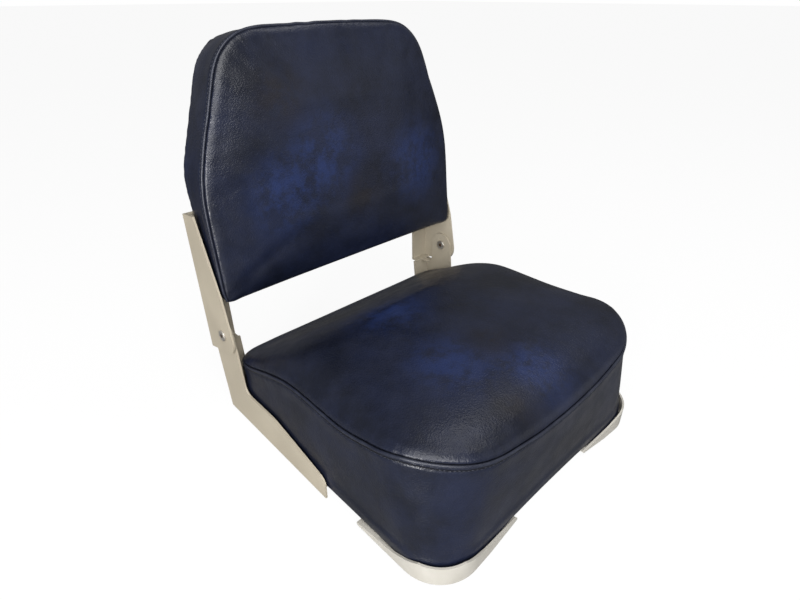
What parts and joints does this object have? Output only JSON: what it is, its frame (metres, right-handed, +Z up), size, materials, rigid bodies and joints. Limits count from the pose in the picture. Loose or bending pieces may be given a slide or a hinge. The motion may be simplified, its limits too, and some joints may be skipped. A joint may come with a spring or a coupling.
{
  "type": "folding boat seat",
  "caption": "Padded vinyl folding boat seat: cushion on a moulded pan with feet, backrest on painted sheet-metal hinge arms, folding forward on rivets.",
  "frame": {"origin": "centre of the four pedestal bolts on the pan's underside, where the seat rests on its mount", "axes": "+Z up; a sitter looks along -Y; +X is the sitter's left; the hinge axis is along X"},
  "size_m": [0.4156, 0.451, 0.4826],
  "materials": {
    "vinyl": "satin",
    "piping": "satin",
    "foam": "matte",
    "pan": "matte",
    "arm_paint": "satin",
    "rivet_steel": "satin",
    "zinc_steel": "satin",
    "washer_nylon": "matte",
    "board": "matte"
  },
  "bodies": {
    "seat_base": {"seat_pan": "pan", "mount_tnuts": "zinc_steel", "seat_foam": "foam", "seat_top_cover": "vinyl", "seat_side_band": "vinyl", "seat_welt": "piping", "lower_arm_right": "arm_paint", "lower_arm_left": "arm_paint", "lower_arm_screws": "zinc_steel", "pivot_rivet_right": "rivet_steel", "pivot_rivet_left": "rivet_steel", "pivot_washer_right": "washer_nylon", "pivot_washer_left": "washer_nylon"},
    "backrest": {"upper_arm_right": "arm_paint", "upper_arm_left": "arm_paint", "upper_arm_screws": "zinc_steel", "back_board": "board", "back_foam": "foam", "back_front_cover": "vinyl", "back_side_band": "vinyl", "back_rear_cover": "vinyl", "back_welt": "piping"}
  },
  "joints": [
    {"name": "back_fold", "type": "hinge", "parent": "seat_base", "child": "backrest", "pos_m": [0, 0.18, 0.134], "axis": [1, 0, 0], "range_deg": [0, 65]}
  ]
}
